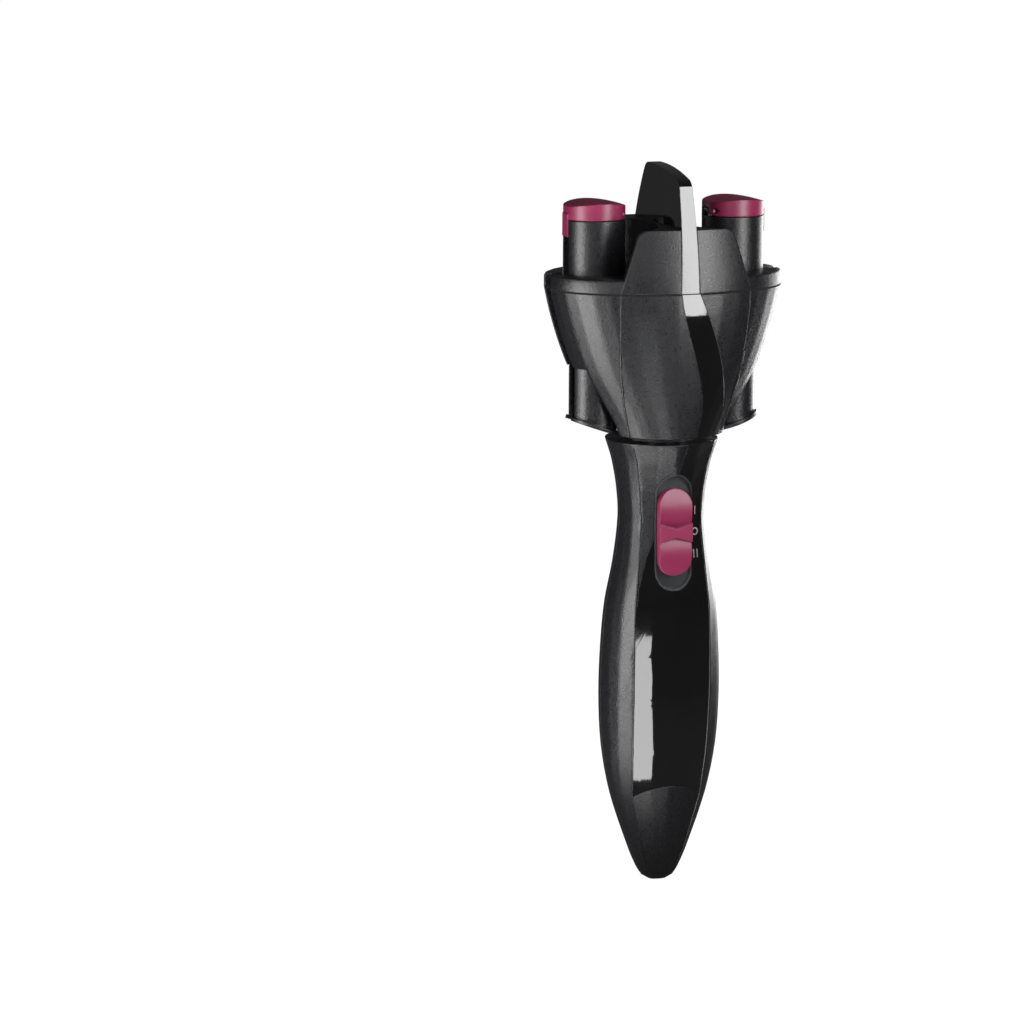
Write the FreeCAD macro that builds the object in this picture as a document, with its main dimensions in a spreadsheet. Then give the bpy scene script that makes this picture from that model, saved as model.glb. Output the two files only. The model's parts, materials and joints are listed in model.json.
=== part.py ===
import FreeCAD, Part

import math
import os
import re

import Sketcher
from FreeCAD import Rotation, Vector

# Automatic hair braider. Millimetres, +Z up, origin at the centre of the handle's tip, front towards -Y.

# Driving dimensions, one spreadsheet cell each.
SIZES = {
    # fits
    "wall": 2.2, "seam": 0.06, "running": 0.06, "gap": 0.3,
    # handle
    "handle_top": 162.4, "deck_low": 152.6, "door_top": 98.0, "gloss_depth": 1.1,
    "gloss_low": 33.0, "gloss_rise": 3.6, "gloss_margin": 0.3,
    # switch
    "switch_z": 130.3, "bezel_width": 14.0, "bezel_length": 42.0, "bezel_rim": 0.6,
    "bezel_floor": 13.1, "bezel_plate": 1.2, "knob_width": 12.2, "knob_length": 31.6,
    "knob_height": 3.6, "knob_travel": 4.5, "stem_width": 3.6, "stem_length": 3.2,
    "knob_ridge": 0.7, "ridge_middle": 1.6, "ridge_end": 3.4,
    "switch_body_depth": 4.2, "switch_body_half": 4.4, "switch_body_reach": 8.4,
    # power
    "cell_radius": 7.25, "cell_length": 49.5, "cell_nub": 1.0, "cell_gap": 0.7, "cell_z": 42.0,
    "holder_plate": 1.6, "spring_radius": 3.2, "contact_width": 9.0, "spring_room": 4.4,
    # motor and reduction
    "motor_radius": 10.2, "motor_length": 23.0, "motor_z": 96.4, "motor_shaft": 1.0, "motor_boss": 3.2,
    "frame_plate": 1.6, "fine_module": 0.4, "pinion_teeth": 12, "wheel_teeth": 22,
    "drive_module": 0.5, "small_teeth": 12, "output_teeth": 24, "wheel_width": 3.4,
    "output_width": 5.0, "reduction_pin": 1.0, "frame_post": 2.8,
    # shaft, hub and clutches
    "shaft_radius": 2.0, "hub_radius": 8.0, "hub_bore": 5.0, "bush_radius": 12.0,
    "clutch_height": 3.8, "shaft_clutch_height": 7.0, "ring_height": 2.0, "ring_radius": 9.6,
    # bell
    "bell_foot": 165.0, "rim_z": 217.2, "bell_wall": 2.0, "window_half": 10.6,
    "window_top": 189.3, "window_inner": 14.6, "slot_width": 6.4, "foot_plate": 3.0,
    "stand_radius": 2.3, "stand_y": 14.6, "inlay_depth": 1.0,
    # gear train in the bell
    "train_module": 0.8, "sun_teeth": 16, "idler_teeth": 16, "head_teeth": 28,
    "train_z": 204.0, "train_width": 5.0, "idler_pin": 1.5, "backlash": 0.1,
    "head_modules": 32.75,  # the head axes' wanted distance from the middle, in modules
    "tray_z": 201.4, "tray_plate": 2.5, "tray_inset": 2.3, "shaft_top": 213.0,
    # heads
    "strand_bore": 7.2, "journal_radius": 9.4, "tower_radius": 11.0,
    "tower_flat": 10.5, "tower_top": 241.5, "tower_foot": 222.8, "retainer_radius": 12.3,
    "retainer_plate": 2.4, "hinge_half": 3.4, "hinge_depth": 3.4,
    "clip_base": 241.8, "clip_top": 247.7, "clip_dome": 1.3, "clip_skin": 1.5, "clip_arm": 6.2,
    "clip_arm_plate": 1.5, "clip_pin": 0.8, "clip_pivot": 1.7,
    # cover, petals and fin
    "cover_plate": 5.2, "petal_top": 239.4, "petal_wall": 2.4, "petal_foot_half": 24.4,
    "petal_top_half": 17.2, "petal_lean": 2.4, "petal_corner": 3.0, "waist_half_width": 3.4,
    "petal_skirt": 1.3, "skirt_drop": 2.4, "fin_top": 260.0, "fin_foot_half": 3.3, "fin_top_half": 2.2,
    "fin_foot": 4.0,
    # lower strand guides
    "guide_radius": 8.6, "guide_low": 164.3, "guide_rise": 5.8, "lip_radius": 10.3, "lip_height": 1.3,
}

# Handle stations: height, half width, crease x, crease depth, front depth, back depth.
HANDLE = {
    "end": (0.0, 3.4, 2.4, 2.0, 2.5, 3.2),
    "nose": (1.5, 5.8, 4.2, 3.2, 4.0, 5.4),
    "tip": (4.4, 7.8, 5.6, 4.2, 5.2, 7.2),
    "taper": (12.0, 11.0, 8.2, 5.8, 7.2, 10.4),
    "panel": (32.0, 17.7, 12.8, 8.9, 11.2, 15.8),
    "palm": (50.0, 21.1, 14.0, 12.2, 14.8, 18.2),
    "grip": (69.0, 22.1, 14.4, 13.9, 16.6, 19.2),
    "thumb": (87.0, 21.6, 14.4, 14.1, 16.8, 18.8),
    "swell": (103.0, 20.2, 14.0, 13.8, 16.2, 17.8),
    "slide": (118.0, 17.3, 12.5, 12.6, 14.9, 16.2),
    "waist": (134.0, 15.5, 11.2, 11.2, 14.3, 15.4),
    "neck": (145.0, 16.2, 11.9, 11.1, 15.2, 16.1),
    "flare": (155.0, 18.0, 13.3, 12.2, 17.6, 18.0),
    "collar": (162.4, 20.3, 15.4, 13.2, 20.3, 20.3),
}
HANDLE_COLUMNS = ("z", "half", "crease", "edge", "front", "back")

# Bell stations: height, half width, half depth, half width of the front panel between its creases.
BELL = {
    "rim": (217.2, 43.4, 29.0, 24.2),
    "shoulder": (209.0, 41.5, 28.6, 24.0),
    "lobe": (199.0, 38.5, 27.4, 23.4),
    "haunch": (188.0, 34.2, 25.8, 22.2),
    "funnel": (178.0, 28.7, 24.3, 20.3),
    "throat": (170.0, 24.2, 23.0, 18.2),
    "foot": (165.0, 21.9, 22.2, 16.9),
}
BELL_COLUMNS = ("z", "half", "depth", "crease")

# Swoosh edges as x at a height: the gloss inlay in the bell, and the top of the handle's gloss panel.
SWOOSH_LEFT = {"bell_a": (217.2, -3.3), "bell_b": (198.0, 1.9),
               "bell_c": (189.0, 4.7), "bell_d": (165.0, 5.3)}
SWOOSH_RIGHT = {"side_a": (217.2, 3.3), "side_b": (198.0, 11.6),
                "side_c": (189.0, 14.3), "side_d": (165.0, 16.0)}
PANEL_EDGE = {"edge_a": (106.0, -13.3), "edge_b": (119.0, -10.6), "edge_c": (130.0, -6.6),
              "edge_d": (151.5, 1.1), "edge_e": (162.4, 3.7)}

# Fin outline, seen from the side: y and height.
FIN = {"foot_front": (-29.0, 217.5), "brow_front": (-26.4, 241.4), "crown_front": (-22.0, 256.0),
       "crown_back": (13.0, 260.0), "brow_back": (22.0, 243.0), "foot_back": (24.8, 234.4)}

# Sides of the faceted outlines.
HANDLE_FRONT, HANDLE_SIDE, HANDLE_BACK = 4, 3, 12
HOLLOW_SIDES = 16
BELL_SIDES = 36
BELL_SPREAD = 1.3  # the bell's sides turn faster in front and behind than at the lobes

doc = FreeCAD.newDocument("HairBraider")
sheet = doc.addObject("Spreadsheet::Sheet", "Sizes")
rows = [(name, value) for name, value in SIZES.items()]
for name, values in HANDLE.items():
    rows += [(f"{name}_{column}", value) for column, value in zip(HANDLE_COLUMNS, values)]
for name, values in BELL.items():
    rows += [(f"bell_{name}_{column}", value) for column, value in zip(BELL_COLUMNS, values)]
for edge in (SWOOSH_LEFT, SWOOSH_RIGHT, PANEL_EDGE):
    for name, (height, across) in edge.items():
        rows += [(f"{name}_height", height), (f"{name}_across", across)]
for name, (depth, height) in FIN.items():
    rows += [(f"fin_{name}_depth", depth), (f"fin_{name}_height", height)]
for row, (name, value) in enumerate(rows, start=1):
    sheet.set(f"A{row}", name)
    sheet.set(f"B{row}", str(value))
    sheet.setAlias(f"B{row}", name)
doc.recompute()

parts = []


def size(expression):
    """The value of a cell, or of an expression of cells."""
    return float(sheet.evalExpression(expression))


def bound(expression):
    """The same expression, as another object of the document refers to the sheet."""
    return re.sub(r"[a-z][a-z_]*", lambda word: "Sizes." + word.group(), expression)


def part(label, thing):
    """Gives a sub-part its name and marks it for the file of that name."""
    thing.Label = label
    parts.append(thing)
    return thing


def place(thing, x="0", y="0", z="0"):
    """Puts an object at a place that follows the sheet."""
    for axis, expression in zip("xyz", (x, y, z)):
        if expression != "0":
            thing.setExpression(f"Placement.Base.{axis}", bound(expression))
    return thing


# ---------------------------------------------------------------- sketched bodies


def new_body(name):
    return doc.addObject("PartDesign::Body", name + "_body")


def sketch_on(body, plane_role, name, height="0"):
    """A sketch on one of the body's own origin planes, raised by height."""
    sketch = body.newObject("Sketcher::SketchObject", name)
    plane = next(o for o in body.Origin.OriginFeatures if o.Role == plane_role)
    sketch.AttachmentSupport = (plane, [""])
    sketch.MapMode = "FlatFace"
    if height != "0":
        sketch.setExpression("AttachmentOffset.Base.z", bound(height))
    return sketch


def draw(sketch, outline):
    """A closed outline through points whose two coordinates are expressions of the sheet."""
    points = [(size(x), size(y)) for x, y in outline]
    first = sketch.GeometryCount
    count = len(points)
    for i, start in enumerate(points):
        end = points[(i + 1) % count]
        sketch.addGeometry(Part.LineSegment(Vector(*start, 0), Vector(*end, 0)))
    for i in range(count):
        sketch.addConstraint(Sketcher.Constraint("Coincident", first + i, 2, first + (i + 1) % count, 1))
    for i, (expressions, values) in enumerate(zip(outline, points)):
        for kind, axis, expression, value in zip(("DistanceX", "DistanceY"), (-2, -1), expressions, values):
            if abs(value) < 1e-9:
                sketch.addConstraint(Sketcher.Constraint("PointOnObject", first + i, 1, axis))
            else:
                index = sketch.addConstraint(Sketcher.Constraint(kind, -1, 1, first + i, 1, value))
                sketch.setExpression(f"Constraints[{index}]", bound(expression))


def circle(sketch, radius):
    """A circle about the sketch's own origin."""
    index = sketch.addGeometry(Part.Circle(Vector(0, 0, 0), Vector(0, 0, 1), size(radius)))
    sketch.addConstraint(Sketcher.Constraint("Coincident", index, 3, -1, 1))
    rule = sketch.addConstraint(Sketcher.Constraint("Radius", index, size(radius)))
    sketch.setExpression(f"Constraints[{rule}]", bound(radius))


def turned(name, profile):
    """A turned piece about the vertical axis, from its half profile of radius and height."""
    body = new_body(name)
    sketch = sketch_on(body, "XZ_Plane", name + "_profile")
    draw(sketch, profile)
    turn = body.newObject("PartDesign::Revolution", name + "_turn")
    turn.Profile = sketch
    turn.ReferenceAxis = (sketch, ["V_Axis"])
    turn.Angle = 360
    return body


def tube(name, outer, inner, low, high):
    """A plain ring or tube."""
    return turned(name, [(inner, low), (outer, low), (outer, high), (inner, high)])


def keyed_ring(name, flat, bore, low, width):
    """A ring with eight flats outside, which keep it from turning, and a round bore."""
    body = new_body(name)
    sketch = sketch_on(body, "XY_Plane", name + "_outline", low)
    half_side = f"{flat} * {math.tan(math.pi / 8):.6f}"
    sides = [(half_side, flat), (flat, half_side)]
    corners = sides + [(x, f"-({y})") for x, y in reversed(sides)]
    draw(sketch, corners + [(f"-({x})", y) for x, y in reversed(corners)])
    circle(sketch, bore)
    pad = body.newObject("PartDesign::Pad", name + "_pad")
    pad.Profile = sketch
    pad.setExpression("Length", bound(width))
    return body


def involute(angle):
    return math.tan(angle) - angle


PRESSURE = math.radians(20)
ADDENDUM = 0.8
DEDENDUM = 1.1


def gap_outline(module, teeth, middle, steps):
    """One gap between involute teeth, centred on the direction `middle`, its flanks in straight steps."""
    pitch = module * teeth / 2
    base = pitch * math.cos(PRESSURE)
    thickness = math.pi * module / 2 - size("backlash") * module / size("train_module")

    def half_gap(radius):
        lean = involute(math.acos(base / radius)) if radius > base else 0.0
        return math.pi / teeth - (thickness / (2 * pitch) + involute(PRESSURE) - lean)

    root, tip = pitch - DEDENDUM * module, pitch + ADDENDUM * module
    sides = [(r, half_gap(r)) for r in (root + (tip - root) * i / steps for i in range(steps + 1))]
    sides.append((tip + module, half_gap(tip)))
    turns = [(r, -a) for r, a in reversed(sides)] + sides
    return [Vector(r * math.cos(middle + a), r * math.sin(middle + a), 0) for r, a in turns]


def gear(name, module, teeth, bore, low, width, phase=0.0, steps=1):
    """A spur gear: a blank with its bore, one tooth gap, and the gap repeated round it."""
    body = new_body(name)
    blank = sketch_on(body, "XY_Plane", name + "_blank", low)
    circle(blank, f"{module} * ({teeth} / 2 + {ADDENDUM})")
    circle(blank, bore)
    pad = body.newObject("PartDesign::Pad", name + "_pad")
    pad.Profile = blank
    pad.setExpression("Length", bound(width))
    doc.recompute()
    gap = sketch_on(body, "XY_Plane", name + "_gap", low)
    points = gap_outline(size(module), size(teeth), phase + math.pi / size(teeth), steps)
    for start, end in zip(points, points[1:] + points[:1]):
        gap.addGeometry(Part.LineSegment(start, end))
    cut = body.newObject("PartDesign::Pocket", name + "_cut")
    cut.Profile = gap
    cut.setExpression("Length", bound(width))
    cut.Reversed = True
    ring = body.newObject("PartDesign::PolarPattern", name + "_teeth")
    ring.Originals = [cut]
    ring.Axis = (gap, ["N_Axis"])
    ring.Angle = 360
    ring.setExpression("Occurrences", bound(teeth))
    body.Tip = ring
    doc.recompute()
    return body


# ---------------------------------------------------------------- solid helpers


def feature(label, shape):
    """A sub-part whose form is worked out below from the sheet's values."""
    thing = doc.addObject("Part::Feature", label)
    thing.Shape = shape
    thing.Placement = FreeCAD.Placement()
    return part(label, thing)


def rod(radius, low, high, x=0.0, y=0.0):
    return Part.makeCylinder(radius, high - low, Vector(x, y, low))


def rod_along_y(radius, start, end, x, z):
    return Part.makeCylinder(radius, end - start, Vector(x, start, z), Vector(0, 1, 0))


def block(x0, x1, y0, y1, z0, z1):
    return Part.makeBox(x1 - x0, y1 - y0, z1 - z0, Vector(x0, y0, z0))


def fused(shapes):
    return shapes[0].multiFuse(list(shapes[1:])).removeSplitter()


def faceted(rings):
    """A solid through rings of as many points each: flat quadrangles where possible, else triangles."""
    count = len(rings[0])
    faces = [Part.Face(Part.makePolygon(ring + ring[:1])) for ring in (rings[0], rings[-1])]
    for low, high in zip(rings, rings[1:]):
        for i in range(count):
            corners = [low[i], low[(i + 1) % count], high[(i + 1) % count], high[i]]
            normal = (corners[1] - corners[0]).cross(corners[2] - corners[0])
            flat = abs(normal.dot(corners[3] - corners[0])) < 1e-7 * normal.Length
            for group in ([corners] if flat else [corners[:3], [corners[0]] + corners[2:]]):
                faces.append(Part.Face(Part.makePolygon(group + group[:1])))
    shell = Part.makeShell(faces)
    shell.sewShape()
    return Part.makeSolid(shell)


def straightened(curve, steps):
    """A curve as so many straight edges."""
    line = curve.discretize(steps + 1)
    return [Part.makeLine(start, end) for start, end in zip(line, line[1:])]


def smooth(points, steps):
    """Edges along a smooth line through the points, in so many straight steps."""
    curve = Part.BSplineCurve()
    curve.interpolate(points)
    return straightened(curve, steps)


def oval(half, depth, z, y=0.0, sides=HOLLOW_SIDES):
    turns = [2 * math.pi * i / sides for i in range(sides)]
    return [Vector(half * math.cos(a), y + depth * math.sin(a), z) for a in turns]


def stadium(width, length, low, high, z):
    """A slot-shaped prism along Y with its long way up, from y = low to y = high."""
    radius = width / 2
    reach = length / 2 - radius
    left, right = Vector(-radius, low, 0), Vector(radius, low, 0)
    up, down = Vector(0, 0, z + reach), Vector(0, 0, z - reach)
    top = Part.Arc(left + up, Vector(0, low, z + reach + radius), right + up).toShape()
    bottom = Part.Arc(right + down, Vector(0, low, z - reach - radius), left + down).toShape()
    sides = [Part.makeLine(right + up, right + down), Part.makeLine(left + down, left + up)]
    return Part.Face(Part.Wire([top, sides[0], bottom, sides[1]])).extrude(Vector(0, high - low, 0))


def prism_along_y(edges, low, high):
    """A prism along Y from a closed outline in the XZ plane."""
    face = Part.Face(Part.Wire(edges))
    face.translate(Vector(0, low, 0))
    return face.extrude(Vector(0, high - low, 0))


# ---------------------------------------------------------------- gear train that closes on itself

train = {name: size(name + "_teeth") for name in ("sun", "idler", "head")}
sun_to_idler = size("train_module") * (train["sun"] + train["idler"]) / 2
idler_to_head = size("train_module") * (train["idler"] + train["head"]) / 2


def loop_phase(reach):
    """Tooth phase round the loop sun, idler, head, in turns: it closes on a whole or a half turn."""
    at_sun = math.acos((sun_to_idler**2 + reach**2 - idler_to_head**2) / (2 * sun_to_idler * reach))
    at_head = math.asin(sun_to_idler * math.sin(at_sun) / idler_to_head)
    turn = (train["sun"] + train["idler"]) * at_sun + (train["idler"] + train["head"]) * at_head
    return turn / (2 * math.pi), at_sun, at_head


def closing_reach():
    """The head distance nearest to the wanted one at which two idlers mesh with both gears."""
    wanted = size("head_modules") * size("train_module")
    target = round(2 * loop_phase(wanted)[0]) / 2
    low, high = wanted * 0.85, (sun_to_idler + idler_to_head) * 0.985
    for _ in range(60):
        middle = (low + high) / 2
        if loop_phase(middle)[0] > target:
            low = middle
        else:
            high = middle
    return (low + high) / 2


head_x = closing_reach()
_, idler_angle, _ = loop_phase(head_x)
idler_x = sun_to_idler * math.cos(idler_angle)
idler_y = sun_to_idler * math.sin(idler_angle)
sheet.set("D1", "head_axis")
sheet.set("E1", repr(head_x))
sheet.setAlias("E1", "head_axis")
doc.recompute()

# ---------------------------------------------------------------- handle


def handle_ring(name, inset):
    """A flatter front between two creases, and a round side and back, drawn in by inset."""
    z, half, crease, edge, front, back = (size(f"{name}_{column}") for column in HANDLE_COLUMNS)
    span = math.acos(crease / half)
    swell = edge / math.sin(span) - inset
    half, front, back = half - inset, front - inset, back - inset
    corner = Vector(half * math.cos(span), -swell * math.sin(span), z)
    ring = []
    for i in range(HANDLE_FRONT):
        across = 2 * i / HANDLE_FRONT - 1
        ring.append(Vector(corner.x * across, -front + (front + corner.y) * across**2, z))
    sides = [span * (1 - i / HANDLE_SIDE) for i in range(HANDLE_SIDE)]
    ring += [Vector(half * math.cos(a), -swell * math.sin(a), z) for a in sides]
    ring += [Vector(half * math.cos(a), back * math.sin(a), z)
             for a in (math.pi * i / HANDLE_BACK for i in range(HANDLE_BACK))]
    return ring + [Vector(-half * math.cos(span - a), -swell * math.sin(span - a), z) for a in sides]


def handle_form(inset=0.0):
    return faceted([handle_ring(name, inset) for name in HANDLE])


def hollow_form(inset):
    """The handle's inside: oval bands from station to station, drawn in by inset."""
    rings = []
    for name in ("taper", "panel", "palm", "grip", "swell", "waist", "flare"):
        z, half, _, _, front, back = (size(f"{name}_{column}") for column in HANDLE_COLUMNS)
        rings.append(oval(half - inset, (front + back) / 2 - inset, z, (back - front) / 2))
    return faceted(rings)


def octagon(flat, low, high):
    """An eight-sided prism round the axis, so wide across its flats."""
    corner = flat / math.cos(math.pi / 8)
    points = [Vector(corner * math.cos(a), corner * math.sin(a), low)
              for a in (math.pi * (i + 0.5) / 4 for i in range(8))]
    return Part.Face(Part.makePolygon(points + points[:1])).extrude(Vector(0, 0, high - low))


wall = size("wall")
seam = size("seam")
running = size("running")
gap = size("gap")
handle_top = size("handle_top")
deck_low = size("deck_low")
door_top = size("door_top")
REACH = 60.0  # past every surface of the object

outer = handle_form()
panel_back = handle_form(size("gloss_depth"))
hollow = hollow_form(wall)
hollow = hollow.cut(block(-REACH, REACH, -REACH, REACH, deck_low, handle_top + 1))
bush_bore = octagon(size("bush_radius") + seam, deck_low - 1, handle_top + 1)
shell = outer.cut(hollow).cut(bush_bore)

switch_z = size("switch_z")
bezel_width, bezel_length = size("bezel_width"), size("bezel_length")
bezel_floor = size("bezel_floor")


def panel_outline(margin):
    """The gloss panel's edge: an arc below, the creases at the sides and a swoosh up to the collar."""
    inset = size("gloss_margin") + margin
    low = size("gloss_low") + margin
    steps = ["panel", "palm", "grip", "thumb", "swell"]
    corner = size("panel_crease") - inset
    lift = corner / 60
    left = [Vector(-corner, 0, low)]
    left += [Vector(-(size(s + "_crease") - inset), 0, size(s + "_z")) for s in steps[1:-1]]
    left += [Vector(size(e + "_across") + margin, 0, size(e + "_height")) for e in PANEL_EDGE]
    left[-1].z += 1
    names = steps[1:] + ["slide", "waist", "neck", "flare", "collar"]
    right = [Vector(corner, 0, low + lift)]
    right += [Vector(size(s + "_crease") - inset, 0, size(s + "_z")) for s in names]
    right[-1].z += 1
    arch = Part.Arc(right[0], Vector(0, 0, low + size("gloss_rise")), left[0]).toShape()
    return smooth(left, 12) + [Part.makeLine(left[-1], right[-1])] + smooth(right[::-1], 12) + [arch]


recess = prism_along_y(panel_outline(0.0), -REACH, 0)
insert = prism_along_y(panel_outline(seam), -REACH, 0)
skin = outer.cut(panel_back)
switch_hole = stadium(bezel_width, bezel_length, -REACH, -wall, switch_z)
bezel_prism = stadium(bezel_width - 2 * seam, bezel_length - 2 * seam, -REACH,
                      -(bezel_floor - size("bezel_plate")), switch_z)

front_half = block(-REACH, REACH, -REACH, -seam / 2, -1, handle_top + 1)
rear_half = block(-REACH, REACH, seam / 2, REACH, door_top + seam, handle_top + 1)
door_half = block(-REACH, REACH, gap / 2, REACH, -1, door_top - gap / 2)
front_shell = shell.common(front_half).cut(skin.common(recess)).cut(switch_hole)
feature("front_shell", front_shell)
feature("rear_shell", shell.common(rear_half))
feature("battery_door", shell.common(door_half))
feature("gloss_panel", outer.cut(handle_form(size("gloss_depth") - seam)).common(insert).cut(switch_hole))

# Switch: a flat-floored bezel, the knob that slides in it, and the switch body behind the floor.
bezel_plate = size("bezel_plate")
travel = size("knob_travel")
stem_half = size("stem_width") / 2
stem_reach = size("stem_length") / 2
rim = size("bezel_rim")
well = stadium(bezel_width - 2 * rim, bezel_length - 2 * rim, -REACH, -bezel_floor, switch_z)
stem_slot = block(-stem_half - gap, stem_half + gap, -REACH, 0,
                  switch_z - travel - stem_reach - gap, switch_z + travel + stem_reach + gap)
feature("switch_bezel", bezel_prism.common(outer).cut(well).cut(stem_slot))

knob_floor = -(bezel_floor + running * 2)
knob_half, knob_reach = size("knob_width") / 2, size("knob_length") / 2
knob = stadium(2 * knob_half, 2 * knob_reach, knob_floor - size("knob_height"), knob_floor, switch_z)
crown = [Part.makeCylinder(knob_reach * 1.05, 4 * knob_half,
                           Vector(-2 * knob_half, knob_floor - size("knob_height") + knob_reach * 1.05,
                                  switch_z + side * knob_reach / 2), Vector(1, 0, 0)) for side in (-1, 1)]
ridge_middle, ridge_end = size("ridge_middle"), size("ridge_end")
ridge_edges = [Vector(x, 0, switch_z + z) for x, z in
               ((-knob_half, ridge_end), (0, ridge_middle), (knob_half, ridge_end),
                (knob_half, -ridge_end), (0, -ridge_middle), (-knob_half, -ridge_end))]
ridge = prism_along_y([Part.makePolygon(ridge_edges + ridge_edges[:1])],
                      knob_floor - size("knob_height") - size("knob_ridge"), knob_floor)
body_front = -(bezel_floor - bezel_plate - seam)
stem = block(-stem_half, stem_half, knob_floor - 0.5, body_front + 0.8,
             switch_z - stem_reach, switch_z + stem_reach)
knob = knob.common(crown[0].fuse(crown[1])).fuse(
    ridge.common(stadium(2 * knob_half, 2 * knob_reach, -REACH, knob_floor, switch_z)))
feature("switch_knob", fused([knob, stem]))
switch_half, switch_reach = size("switch_body_half"), size("switch_body_reach")
switch_body = block(-switch_half, switch_half, body_front, body_front + size("switch_body_depth"),
                    switch_z - switch_reach, switch_z + switch_reach)
nub_groove = block(-stem_half - gap, stem_half + gap, body_front - 1, body_front + 1.2,
                   switch_z - travel - stem_reach - gap, switch_z + travel + stem_reach + gap)
feature("slide_switch", switch_body.cut(nub_groove))

# Battery holder, cells and contacts.
cell_z, cell_radius, cell_length = size("cell_z"), size("cell_radius"), size("cell_length")
cell_x = cell_radius + size("cell_gap") / 2
plate = size("holder_plate")
holder_low = cell_z - size("spring_room") - plate
holder_high = cell_z + cell_length + size("cell_nub") + 1.6
inner_clear = hollow_form(wall + 1.0)
spine = block(-11.5, 11.5, -cell_radius - 2.3, -cell_radius - 0.7, holder_low, holder_high + plate)
ends = [block(-REACH, REACH, -REACH, REACH, z, z + plate) for z in (holder_low, holder_high)]
web = block(-0.5, 0.5, -cell_radius - 1, -4.6, holder_low, holder_high)
holder = inner_clear.common(fused([spine, web] + ends))
seats = [hollow_form(wall + seam).common(block(-REACH, REACH, -REACH, -3.0, z, z + plate))
         for z in (holder_low, holder_high)]
feature("battery_holder", fused([holder] + seats))


def cell(name, x, upright):
    """An AA cell: its can, and the button at its positive end."""
    button = "cell_radius * 0.38"
    base = ["cell_z", "cell_z + cell_length", "cell_z + cell_length + cell_nub"]
    if not upright:
        base = ["cell_z + cell_length + cell_nub", "cell_z + cell_nub", "cell_z"]
    profile = [("0", base[0]), ("cell_radius", base[0]), ("cell_radius", base[1]),
               (button, base[1]), (button, base[2]), ("0", base[2])]
    body = turned(name, profile)
    place(body, x=x)
    part(name, body)


cell("cell_left", "-(cell_radius + cell_gap / 2)", True)
cell("cell_right", "cell_radius + cell_gap / 2", False)

spring_low = holder_low + plate
springs = [rod(size("spring_radius"), spring_low, cell_z - 0.02, x) for x in (-cell_x, cell_x)]
feature("contact_springs", Part.makeCompound(springs))
contact_half = size("contact_width") / 2
cell_end = cell_z + cell_length + size("cell_nub")
contacts = [block(x - contact_half, x + contact_half, -contact_half, contact_half, cell_end + 0.02,
                  holder_high - 0.02) for x in (-cell_x, cell_x)]
feature("contact_plates", Part.makeCompound(contacts))

# Motor and reduction. The compound gear's pin stands behind the drive shaft, the motor between them.
pin_y = size("drive_module * (small_teeth + output_teeth) / 2")
motor_y = pin_y - size("fine_module * (pinion_teeth + wheel_teeth) / 2")
sheet.set("D2", "pin_back")
sheet.set("E2", repr(pin_y))
sheet.setAlias("E2", "pin_back")
sheet.set("D3", "motor_back")
sheet.set("E3", repr(motor_y))
sheet.setAlias("E3", "motor_back")
doc.recompute()

motor_end = "motor_z + motor_length"
frame_low = size("motor_z + motor_length")
frame_plate = size("frame_plate")
gear_low = frame_low + frame_plate + 0.6
wheel_width, output_width = size("wheel_width"), size("output_width")
frame_high = gear_low + wheel_width + output_width + 1.6


def train_cell(name, value, row):
    """A worked-out height, kept in the sheet so that bodies can follow it."""
    sheet.set(f"D{row}", name)
    sheet.set(f"E{row}", repr(value))
    sheet.setAlias(f"E{row}", name)


train_cell("gear_low", gear_low, 4)
train_cell("frame_high", frame_high, 5)
doc.recompute()
motor = turned("motor", [
    ("0", "motor_z"), ("motor_radius", "motor_z"), ("motor_radius", f"{motor_end} - 1.2"),
    ("motor_boss", f"{motor_end} - 1.2"), ("motor_boss", motor_end), ("motor_shaft", motor_end),
    ("motor_shaft", "gear_low + wheel_width"), ("0", "gear_low + wheel_width")])
part("motor", place(motor, y="motor_back"))


def mesh_phase(teeth, phase, toward, other_teeth):
    """The phase of a gear that meshes with one of `phase`, lying in direction `toward` from it."""
    return toward + math.pi + (math.pi - teeth * (phase - toward)) / other_teeth


pinion = gear("motor_pinion", "fine_module", "pinion_teeth", "motor_shaft + 0.02", "gear_low", "wheel_width")
part("motor_pinion", place(pinion, y="motor_back"))
wheel_phase = mesh_phase(size("pinion_teeth"), 0.0, math.pi / 2, size("wheel_teeth"))
small_phase = mesh_phase(size("output_teeth"), 0.0, math.pi / 2, size("small_teeth"))
wheel = gear("wheel", "fine_module", "wheel_teeth", "reduction_pin + running",
             "gear_low", "wheel_width", wheel_phase)
small = gear("small", "drive_module", "small_teeth", "reduction_pin + running",
             "gear_low + wheel_width", "output_width + 0.6", small_phase)
place(wheel, y="pin_back")
place(small, y="pin_back")
compound = doc.addObject("Part::MultiFuse", "compound")
compound.Shapes = [wheel, small]
part("compound_gear", compound)
part("output_gear", gear("output_gear", "drive_module", "output_teeth", "shaft_radius",
                         "gear_low + wheel_width + 0.4", "output_width"))
reduction_pin = turned("reduction_pin", [
    ("0", f"{motor_end} + 0.4"), ("reduction_pin", f"{motor_end} + 0.4"),
    ("reduction_pin", "frame_high + frame_plate"), ("0", "frame_high + frame_plate")])
part("reduction_pin", place(reduction_pin, y="pin_back"))

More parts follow.
